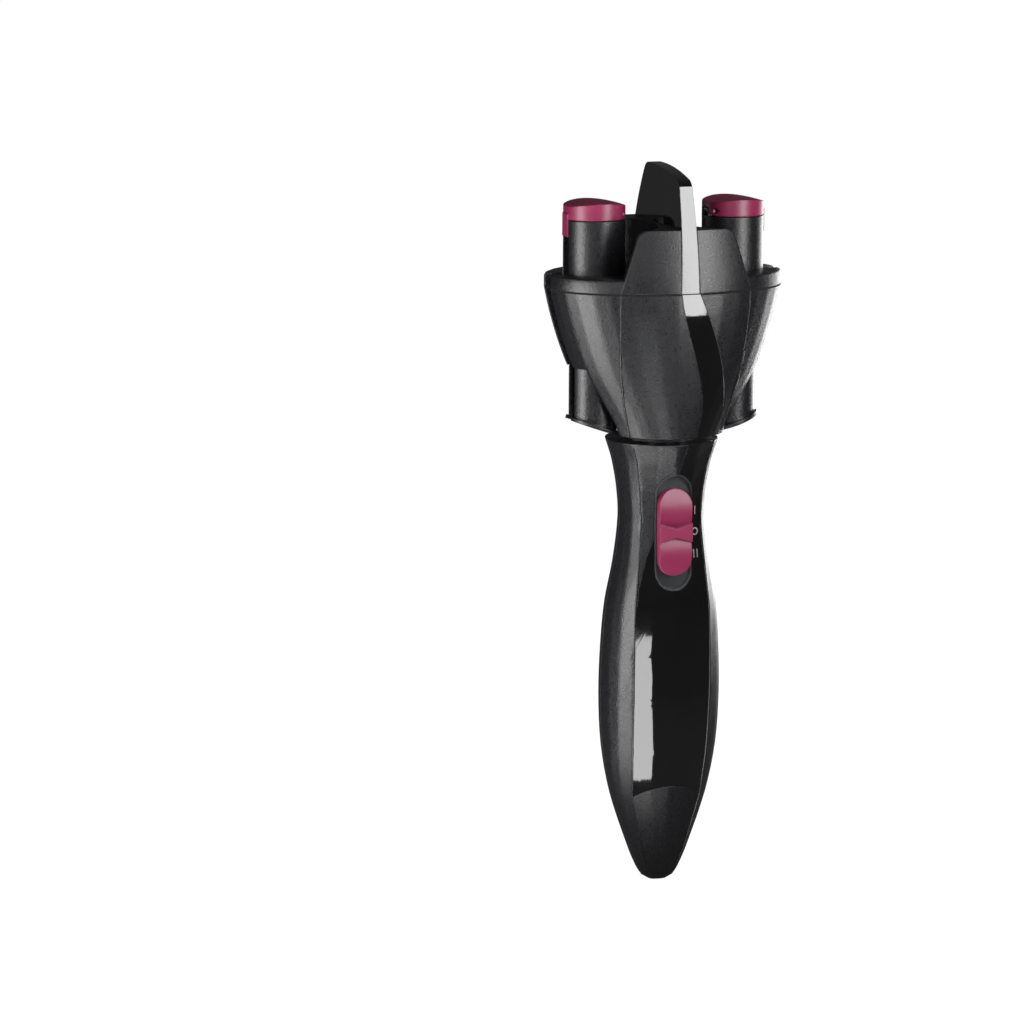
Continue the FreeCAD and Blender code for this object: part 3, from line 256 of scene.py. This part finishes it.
def curved(heights, sizes, steps=6):
    """Between stations: how much a smooth curve through them lies outside the straight lines, as factors."""
    count = len(heights)
    slopes = []
    for i in range(count):
        a, b = max(i - 1, 0), min(i + 1, count - 1)
        slopes.append((sizes[b] - sizes[a]) / (heights[b] - heights[a]))
    points = []
    for i in range(count - 1):
        span = heights[i + 1] - heights[i]
        for step in range(steps):
            t = step / steps
            smooth = ((2 * t**3 - 3 * t**2 + 1) * sizes[i] + (t**3 - 2 * t**2 + t) * span * slopes[i]
                      + (3 * t**2 - 2 * t**3) * sizes[i + 1] + (t**3 - t**2) * span * slopes[i + 1])
            straight = sizes[i] + (sizes[i + 1] - sizes[i]) * t
            points.append((heights[i] + span * t, smooth / straight))
    return points + [(heights[-1], 1.0)]


def swelling(name, heights, halves, fronts, backs):
    """Geometry nodes that divide a mesh and bend its straight runs in height to a smooth curve."""
    group = bpy.data.node_groups.new(name, "GeometryNodeTree")
    group.interface.new_socket("Geometry", in_out="INPUT", socket_type="NodeSocketGeometry")
    group.interface.new_socket("Geometry", in_out="OUTPUT", socket_type="NodeSocketGeometry")
    nodes, link = group.nodes, group.links.new
    low, high = heights[0], heights[-1]
    place = nodes.new("GeometryNodeInputPosition")
    parts = nodes.new("ShaderNodeSeparateXYZ")
    link(place.outputs[0], parts.inputs[0])
    share = nodes.new("ShaderNodeMapRange")
    share.inputs["From Min"].default_value = low / 1000.0
    share.inputs["From Max"].default_value = high / 1000.0
    link(parts.outputs["Z"], share.inputs["Value"])

    def factor(sizes):
        curve = nodes.new("ShaderNodeFloatCurve")
        line = curve.mapping.curves[0]
        wanted = [((z - low) / (high - low), (f - FACTOR_LOW) / FACTOR_RANGE)
                  for z, f in curved(heights, sizes)]
        line.points[0].location, line.points[1].location = wanted[0], wanted[-1]
        for spot in wanted[1:-1]:
            line.points.new(*spot)
        for point in line.points:
            point.handle_type = "VECTOR"
        curve.mapping.update()
        link(share.outputs[0], curve.inputs["Value"])
        back = nodes.new("ShaderNodeMath")
        back.operation = "MULTIPLY_ADD"
        back.inputs[1].default_value = FACTOR_RANGE
        back.inputs[2].default_value = FACTOR_LOW
        link(curve.outputs[0], back.inputs[0])
        return back.outputs[0]

    def product(first, second):
        times = nodes.new("ShaderNodeMath")
        times.operation = "MULTIPLY"
        link(first, times.inputs[0])
        link(second, times.inputs[1])
        return times.outputs[0]

    behind = nodes.new("ShaderNodeMath")
    behind.operation = "GREATER_THAN"
    behind.inputs[1].default_value = 0.0
    link(parts.outputs["Y"], behind.inputs[0])
    choice = nodes.new("ShaderNodeMix")
    link(behind.outputs[0], choice.inputs[0])
    link(factor(fronts), choice.inputs[2])
    link(factor(backs), choice.inputs[3])
    moved = nodes.new("ShaderNodeCombineXYZ")
    link(product(parts.outputs["X"], factor(halves)), moved.inputs[0])
    link(product(parts.outputs["Y"], choice.outputs[0]), moved.inputs[1])
    link(parts.outputs["Z"], moved.inputs[2])
    source, result = nodes.new("NodeGroupInput"), nodes.new("NodeGroupOutput")
    divide = nodes.new("GeometryNodeSubdivideMesh")
    divide.inputs["Level"].default_value = CURVE_LEVEL
    shift = nodes.new("GeometryNodeSetPosition")
    link(source.outputs[0], divide.inputs[0])
    link(divide.outputs[0], shift.inputs["Geometry"])
    link(moved.outputs[0], shift.inputs["Position"])
    link(shift.outputs[0], result.inputs[0])
    return group


# The handle's stations: height, half-width, depth in front, depth behind, and how far out the crease lies.
HANDLE_STATIONS = (
    (0.0, 3.4, 2.5, 3.2, 2.4),
    (1.5, 5.8, 4.0, 5.4, 4.2),
    (4.4, 7.8, 5.2, 7.2, 5.6),
    (12.0, 11.0, 7.2, 10.4, 8.2),
    (32.0, 17.7, 11.2, 15.8, 12.8),
    (50.0, 21.1, 14.8, 18.2, 14.0),
    (69.0, 22.1, 16.6, 19.2, 14.4),
    (87.0, 21.6, 16.8, 18.8, 14.4),
    (103.0, 20.2, 16.2, 17.8, 14.0),
    (118.0, 17.3, 14.9, 16.2, 12.5),
    (134.0, 15.5, 14.3, 15.4, 11.2),
    (145.0, 16.2, 15.2, 16.1, 11.9),
    (155.0, 18.0, 17.6, 18.0, 13.3),
    (162.4, 20.3, 20.3, 20.3, 15.4),
)
# The bell's stations: height, half-width, depth (the same on both sides), and how far out the crease lies.
BELL_STATIONS = (
    (165.0, 21.9, 22.2, 16.9),
    (170.0, 24.2, 23.0, 18.2),
    (178.0, 28.7, 24.3, 20.3),
    (188.0, 34.2, 25.8, 22.2),
    (199.0, 38.5, 27.4, 23.4),
    (209.0, 41.5, 28.6, 24.0),
    (217.2, 43.4, 29.0, 24.2),
)
HANDLE_HEIGHTS, HANDLE_HALVES, HANDLE_FRONTS, HANDLE_BACKS, HANDLE_CREASES = zip(*HANDLE_STATIONS)
BELL_HEIGHTS, BELL_HALVES, BELL_DEPTHS, BELL_CREASES = zip(*BELL_STATIONS)
HANDLE_CURVE = swelling("handle_curve", HANDLE_HEIGHTS, HANDLE_HALVES, HANDLE_FRONTS, HANDLE_BACKS)
BELL_CURVE = swelling("bell_curve", BELL_HEIGHTS, BELL_HALVES, BELL_DEPTHS, BELL_DEPTHS)
CURVE_OF = {name: HANDLE_CURVE for name in ("front_shell", "rear_shell", "battery_door", "gloss_panel",
                                            "switch_bezel")}
CURVE_OF.update({name: BELL_CURVE for name in ("bell_frame", "bell_front_panel", "bell_rear_panel",
                                               "bell_inlay")})
SMOOTH = smoothing()
SLOT_OF = {entry["node"]: entry["material_slot"] for entry in frame["record"]["subparts"]}
BODY_OF = {name: body_name for body_name, names in frame["record"]["behaviour"]["bodies"].items()
           for name in names}


def finished(thing, material):
    """Gives a mesh its one material and shades it smooth."""
    thing.data.materials.clear()
    thing.data.materials.append(material)
    for polygon in thing.data.polygons:
        polygon.use_smooth = True
    thing.modifiers.new("smooth", "NODES").node_group = SMOOTH


for name, thing in NODES.items():
    finished(thing, (pink if name.startswith("clip_pin") else BY_SLOT[SLOT_OF[name]]).material)

CURVED = {}
for name, curve in CURVE_OF.items():
    shell = bpy.data.objects.new(f"{name}_curved", NODES[name].data.copy())
    SCENE.collection.objects.link(shell)
    shell.modifiers.new("curve", "NODES").node_group = curve
    finished(shell, BY_SLOT[SLOT_OF[name]].material)
    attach(shell, BODY_OF[name])
    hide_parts(name)
    CURVED[name] = shell

# ---------------------------------------------------------------- petal faces

PETAL_LOW, PETAL_BEND, PETAL_TOP = 217.55, 221.2, 239.5
PETAL_ROWS = (PETAL_LOW, 219.5, 221.5, 224.0, 226.2, 228.3, 231.0, 234.0, 236.5, 237.6, 238.4, 239.0, 239.35,
              PETAL_TOP)
PETAL_FOOT, PETAL_SLANT, PETAL_CORNER = 24.2, 7.0, 3.0
COVER_HALF, COVER_DEPTH, COVER_LEAN, LEAN_POWER = 43.4, 29.0, 2.4, 1.2
LEG_FOOT, LEG_TAPER, LEG_HEIGHT = 3.45, 1.1, 42.5
FACE_THICKNESS, FACE_PROUD, COLUMNS = 1.6, 0.12, 24


def petal_half(z):
    """Half the petal's width: slanted from the bell's creases, with rounded top corners."""
    half = PETAL_FOOT - PETAL_SLANT * (z - PETAL_LOW) / (PETAL_TOP - PETAL_LOW)
    corner = max(0.0, z - (PETAL_TOP - PETAL_CORNER))
    return half - (PETAL_CORNER - math.sqrt(max(0.0, PETAL_CORNER**2 - corner**2)))


def petal_depth(x, z, inset):
    """How far the cover's oval lies from the middle plane, at x and z, drawn in by inset."""
    lean = COVER_LEAN * (max(0.0, z - PETAL_BEND) / (PETAL_TOP - PETAL_BEND))**LEAN_POWER
    half = COVER_HALF - lean - inset
    depth = COVER_DEPTH - lean - inset
    return depth * math.sqrt(1.0 - (x / half)**2)


def petal_face(name, side, start, end):
    """A closed plate over one part of a petal: side is -1 in front, start and end give its width at z."""
    points, faces = [], []
    for inset in (-FACE_PROUD, FACE_THICKNESS):
        for z in PETAL_ROWS:
            first, last = start(z), end(z)
            for i in range(COLUMNS + 1):
                x = first + (last - first) * i / COLUMNS
                points.append((x / 1000, side * petal_depth(x, z, inset) / 1000, z / 1000))
    wide, tall = COLUMNS + 1, len(PETAL_ROWS)
    layer = wide * tall
    for j in range(tall - 1):
        for i in range(COLUMNS):
            a = j * wide + i
            faces.append((a, a + 1, a + wide + 1, a + wide))
            faces.append((layer + a + wide, layer + a + wide + 1, layer + a + 1, layer + a))
    ring = list(range(COLUMNS))
    ring += [j * wide + COLUMNS for j in range(tall - 1)]
    ring += [(tall - 1) * wide + i for i in range(COLUMNS, 0, -1)]
    ring += [j * wide for j in range(tall - 1, 0, -1)]
    for a, b in zip(ring, ring[1:] + ring[:1]):
        faces.append((b, a, layer + a, layer + b))
    if side > 0:
        faces = [face[::-1] for face in faces]
    mesh = bpy.data.meshes.new(name)
    mesh.from_pydata(points, [], faces)
    plate = bpy.data.objects.new(name, mesh)
    SCENE.collection.objects.link(plate)
    finished(plate, body.material)
    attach(plate, "rotor")


def leg_half(z):
    """Half the width of the fin's leg, with the seam beside it."""
    return LEG_FOOT - LEG_TAPER * (z - PETAL_LOW) / LEG_HEIGHT


petal_face("petal_face_front_left", -1, lambda z: -petal_half(z), lambda z: -leg_half(z))
petal_face("petal_face_front_right", -1, leg_half, petal_half)
petal_face("petal_face_rear", 1, lambda z: -petal_half(z), petal_half)

# ---------------------------------------------------------------- seam seals

# Height and the handle's half-width there, and the strip's section: how far in from that, and y.
SEAL_ROWS = ((1.5, 5.8), (4.4, 7.8), (12.0, 11.0), (22.0, 14.5), (32.0, 17.7), (41.0, 19.5), (48.0, 20.8))
SEAL_SECTION = ((2.0, -0.02), (0.5, -0.02), (0.5, 0.13), (2.0, 0.13))


def seam_seal(name, side):
    """A flat strip on the front shell's edge that closes the running gap to the battery door."""
    points = [(side * (half - reach) / 1000, y / 1000, z / 1000) for z, half in SEAL_ROWS
              for reach, y in SEAL_SECTION]
    last = len(points) - 4
    faces = [(j + i, j + (i + 1) % 4, j + 4 + (i + 1) % 4, j + 4 + i)
             for j in range(0, last, 4) for i in range(4)]
    faces += [(3, 2, 1, 0), (last, last + 1, last + 2, last + 3)]
    if side < 0:
        faces = [face[::-1] for face in faces]
    mesh = bpy.data.meshes.new(name)
    mesh.from_pydata(points, [], faces)
    seal = bpy.data.objects.new(name, mesh)
    SCENE.collection.objects.link(seal)
    mesh.materials.append(body.material)
    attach(seal, "handle")


seam_seal("seam_seal_left", -1)
seam_seal("seam_seal_right", 1)

# ---------------------------------------------------------------- crease lines

BELL_CREASE_RADIUS, HANDLE_CREASE_RADIUS = 0.42, 0.3
BELL_CREASE_ENDS, HANDLE_CREASE_ENDS = (166.5, 216.7), (6.0, 161.0)
CREASE_STEPS, BEAD_ROUNDNESS = 60, 3
RAY_START_MM, RAY_LENGTH = 60, 0.06


def crease_line(name, carriers, body_name, table, side, front, radius, low, high):
    """A thin polished edge along a crease, laid on the surfaces that it runs over."""
    graph = bpy.context.evaluated_depsgraph_get()
    surfaces = [BVHTree.FromObject(CURVED[carrier], graph) for carrier in carriers]
    path = []
    for i in range(CREASE_STEPS + 1):
        z = low + (high - low) * i / CREASE_STEPS
        (za, xa), (zb, xb) = next((a, b) for a, b in zip(table, table[1:]) if z <= b[0] + 1e-6)
        x = side * (xa + (xb - xa) * (z - za) / (zb - za))
        start = Vector((x, front * RAY_START_MM, z)) / 1000.0
        hits = [surface.ray_cast(start, Vector((0, -front, 0)), RAY_LENGTH)[0] for surface in surfaces]
        hits = [hit for hit in hits if hit]
        if hits:
            path.append(max(hits, key=lambda hit: hit.y * front))
    line = bpy.data.curves.new(name, "CURVE")
    line.dimensions = "3D"
    line.bevel_depth = radius / 1000.0
    line.bevel_resolution = BEAD_ROUNDNESS
    line.use_fill_caps = True
    spline = line.splines.new("POLY")
    spline.points.add(len(path) - 1)
    for point, spot in zip(spline.points, path):
        point.co = (*spot, 1.0)
    bead = bpy.data.objects.new(name, line)
    SCENE.collection.objects.link(bead)
    line.materials.append(crease_edge.material)
    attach(bead, body_name)


BELL_CREASE = tuple(zip(BELL_HEIGHTS, BELL_CREASES))
HANDLE_CREASE = tuple(zip(HANDLE_HEIGHTS, HANDLE_CREASES))
for side, word in ((-1, "left"), (1, "right")):
    for front, place_word in ((-1, "front"), (1, "rear")):
        crease_line(f"bell_crease_{place_word}_{word}", ("bell_frame", f"bell_{place_word}_panel"), "rotor",
                    BELL_CREASE, side, front, BELL_CREASE_RADIUS, *BELL_CREASE_ENDS)
    crease_line(f"handle_crease_{word}", ("front_shell", "gloss_panel"), "handle", HANDLE_CREASE, side, -1,
                HANDLE_CREASE_RADIUS, *HANDLE_CREASE_ENDS)

# ---------------------------------------------------------------- switch marks

# In metres: how far off the panel the rays start, how far off it the ink lies, and the ink's thickness.
PRINT_START, PRINT_LIFT, PRINT_THICKNESS = 0.004, 0.00004, 0.00005


def printed(name, outlines, middle, facing):
    """Thin printed strokes laid on the gloss panel: each outline is a closed band of (across, up) pairs."""
    graph = bpy.context.evaluated_depsgraph_get()
    surface = BVHTree.FromObject(CURVED["gloss_panel"], graph)
    facing = Vector(facing).normalized()
    across = facing.cross(Vector((0, 0, 1))).normalized() * -1
    upward = across.cross(facing).normalized() * -1
    if upward.z < 0:
        upward.negate()
    points, faces = [], []
    for inner, outer in outlines:
        start, count = len(points), len(inner)
        for ring in (inner, outer):
            for u, v in ring:
                spot = (Vector(middle) + across * u + upward * v) / 1000.0
                hit = surface.ray_cast(spot + facing * PRINT_START, -facing)[0] or spot
                points.append(hit + facing * PRINT_LIFT)
        for i in range(count):
            j = (i + 1) % count
            faces.append((start + i, start + j, start + count + j, start + count + i))
    mesh = bpy.data.meshes.new(name)
    mesh.from_pydata(points, [], faces)
    mark = bpy.data.objects.new(name, mesh)
    SCENE.collection.objects.link(mark)
    mesh.materials.append(ink.material)
    thick = mark.modifiers.new("thick", "SOLIDIFY")
    thick.thickness = PRINT_THICKNESS
    thick.offset = 0.0
    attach(mark, "handle")


def bar(across, half_width=0.22, half_height=1.45, rows=8):
    """A straight upright stroke, as two sides of so many points."""
    heights = [half_height - 2 * half_height * i / rows for i in range(rows + 1)]
    left = [(across - half_width, v) for v in heights]
    right_side = [(across + half_width, v) for v in heights]
    return left + left[::-1], right_side + right_side[::-1]


def loop(radius=1.4, width=0.42, sides=40):
    """A round stroke, as its inner and its outer ring."""
    turns = [2 * math.pi * i / sides for i in range(sides)]
    return tuple([(r * math.cos(t), r * math.sin(t)) for t in turns] for r in (radius - width, radius))


printed("mark_one", [bar(0.0)], (8.65, -12.32, 137.5), (0.38, -0.92, 0.0))
printed("mark_zero", [loop()], (8.67, -12.52, 129.9), (0.38, -0.92, 0.06))
printed("mark_two", [bar(-0.75), bar(0.75)], (8.72, -13.2, 122.0), (0.30, -0.95, 0.1))

# ---------------------------------------------------------------- floor and backdrop

BOUNCE_GREY, SEEN_GREY = (0.08, 0.08, 0.08), (0.9, 0.9, 0.9)
SEEN_SHARE, MIRRORED_SHARE, GLOW = 0.85, 0.04, 1.17
paper = Shader("paper")
paper.set(Roughness=0.9, Specular_IOR_Level=0.1)
ray = paper.node("ShaderNodeLightPath")
paper_colour = paper.ramp(ray.outputs["Is Camera Ray"], ((0.0, BOUNCE_GREY), (1.0, SEEN_GREY)))
paper.link(paper_colour, paper.principled.inputs["Base Color"])
mirrored = paper.node("ShaderNodeMath", operation="MULTIPLY_ADD")
mirrored.inputs[1].default_value = MIRRORED_SHARE
paper.link(ray.outputs["Is Glossy Ray"], mirrored.inputs[0])
through = paper.node("ShaderNodeMath", operation="MULTIPLY_ADD")
through.inputs[1].default_value = SEEN_SHARE
paper.link(ray.outputs["Is Transmission Ray"], through.inputs[0])
seen = paper.node("ShaderNodeMath", operation="MULTIPLY")
seen.inputs[1].default_value = SEEN_SHARE
paper.link(ray.outputs["Is Camera Ray"], seen.inputs[0])
paper.link(seen.outputs[0], through.inputs[2])
paper.link(through.outputs[0], mirrored.inputs[2])
glow = paper.node("ShaderNodeEmission")
glow.inputs["Strength"].default_value = GLOW
mix = paper.node("ShaderNodeMixShader")
paper.link(mirrored.outputs[0], mix.inputs[0])
paper.link(paper.principled.outputs[0], mix.inputs[1])
paper.link(glow.outputs[0], mix.inputs[2])
paper.link(mix.outputs[0], paper.tree.nodes["Material Output"].inputs["Surface"])

# The paper lies flat to the back's start, bends up round a metre's radius and stands behind the object.
FLOOR_REACH, BACK_START, BEND_RADIUS, BACK_TOP, BEND_STEPS = 4.0, 2.0, 1.0, 4.0, 12
floor_mesh = bpy.data.meshes.new("floor")
profile = [(-FLOOR_REACH, 0.0), (BACK_START, 0.0)]
for i in range(1, BEND_STEPS + 1):
    turn = math.radians(90 * i / BEND_STEPS)
    profile.append((BACK_START + BEND_RADIUS * math.sin(turn), BEND_RADIUS - BEND_RADIUS * math.cos(turn)))
profile.append((BACK_START + BEND_RADIUS, BACK_TOP))
floor_mesh.from_pydata([(x, y, z) for x in (-FLOOR_REACH, FLOOR_REACH) for y, z in profile], [],
                       [(i, i + 1, i + 1 + len(profile), i + len(profile)) for i in range(len(profile) - 1)])
for polygon in floor_mesh.polygons:
    polygon.use_smooth = True
floor = bpy.data.objects.new("floor", floor_mesh)
SCENE.collection.objects.link(floor)
floor_mesh.materials.append(paper.material)

SKY_LIGHT, SKY_SEEN = 0.06, 0.94
world = bpy.data.worlds.new("world")
world.use_nodes = True
SCENE.world = world
background = world.node_tree.nodes["Background"]
background.inputs["Color"].default_value = (1.0, 1.0, 1.0, 1.0)
sky_ray = world.node_tree.nodes.new("ShaderNodeLightPath")
sky = world.node_tree.nodes.new("ShaderNodeMath")
sky.operation = "MULTIPLY_ADD"
sky.inputs[1].default_value = SKY_SEEN
sky.inputs[2].default_value = SKY_LIGHT
world.node_tree.links.new(sky_ray.outputs["Is Camera Ray"], sky.inputs[0])
world.node_tree.links.new(sky.outputs[0], background.inputs["Strength"])


# ---------------------------------------------------------------- light

def softbox(name, azimuth, distance, height, aim_height, size, radiance):
    """A soft lamp that stands at an azimuth from the front, seen from above, and faces the object."""
    light = bpy.data.lights.new(name, "AREA")
    wide, tall = size
    light.shape = "RECTANGLE"
    light.size = wide
    light.size_y = tall
    light.energy = radiance * math.pi * wide * tall
    lamp = bpy.data.objects.new(name, light)
    SCENE.collection.objects.link(lamp)
    turn = math.radians(azimuth)
    lamp.location = (distance * math.sin(turn), -distance * math.cos(turn), height)
    lamp.rotation_euler = (Vector((0, 0, aim_height)) - lamp.location).to_track_quat("-Z", "Y").to_euler()
    lamp.visible_camera = False
    return lamp


softbox("left_box", -72, 0.24, 0.14, 0.14, (0.10, 0.27), 6.0)
softbox("front_box", 25, 0.22, 0.32, 0.30, (0.07, 0.34), 7.0)
softbox("fill_box", -36, 1.00, 0.40, 0.15, (0.40, 0.60), 0.8)
softbox("high_box", -8, 1.20, 0.70, 0.15, (0.7, 0.6), 0.7)
softbox("right_box", 128, 0.60, 0.16, 0.14, (0.45, 0.36), 4.5)

# These two lie just above the floor and face straight up.
STRIP_AZIMUTH, CARD_AZIMUTH, LYING_HEIGHT = -13, -62, 0.004
strip = softbox("low_strip", STRIP_AZIMUTH, 0.33, LYING_HEIGHT, LYING_HEIGHT, (0.034, 0.54), 5.0)
strip.rotation_euler = (math.pi, 0.0, math.radians(STRIP_AZIMUTH))
card = softbox("low_card", CARD_AZIMUTH, 0.14, LYING_HEIGHT, LYING_HEIGHT, (0.10, 0.12), 3.0)
card.rotation_euler = (math.pi, 0.0, math.radians(CARD_AZIMUTH))

# ---------------------------------------------------------------- camera

AZIMUTH, ELEVATION, DISTANCE = math.radians(-19.5), math.radians(10.5), 1.6
TARGET = Vector((0.0, 0.0, 0.13))
# How far the picture's middle lies from the target, in metres, and the camera's roll.
FRAME_RIGHT, FRAME_UP, ROLL = -0.05333, 0.004376, math.radians(0.274)
LENS, SENSOR, CLIP_END = 156.68, 36.0, 20.0
back = Vector((math.sin(AZIMUTH) * math.cos(ELEVATION), -math.cos(AZIMUTH) * math.cos(ELEVATION),
               math.sin(ELEVATION)))
right = Vector((math.cos(AZIMUTH), math.sin(AZIMUTH), 0.0))
up = back.cross(right)
place = TARGET + back * DISTANCE
aim = TARGET + right * FRAME_RIGHT + up * FRAME_UP
camera_data = bpy.data.cameras.new("camera")
camera_data.lens = LENS
camera_data.sensor_width = SENSOR
camera_data.sensor_height = SENSOR
camera_data.sensor_fit = "HORIZONTAL"
camera_data.clip_end = CLIP_END
camera = bpy.data.objects.new("camera", camera_data)
SCENE.collection.objects.link(camera)
look = (aim - place).to_track_quat("-Z", "Y").to_matrix().to_4x4()
camera.matrix_world = Matrix.Translation(place) @ look @ Matrix.Rotation(ROLL, 4, "Z")
SCENE.camera = camera
SCENE.view_settings.view_transform = "Standard"
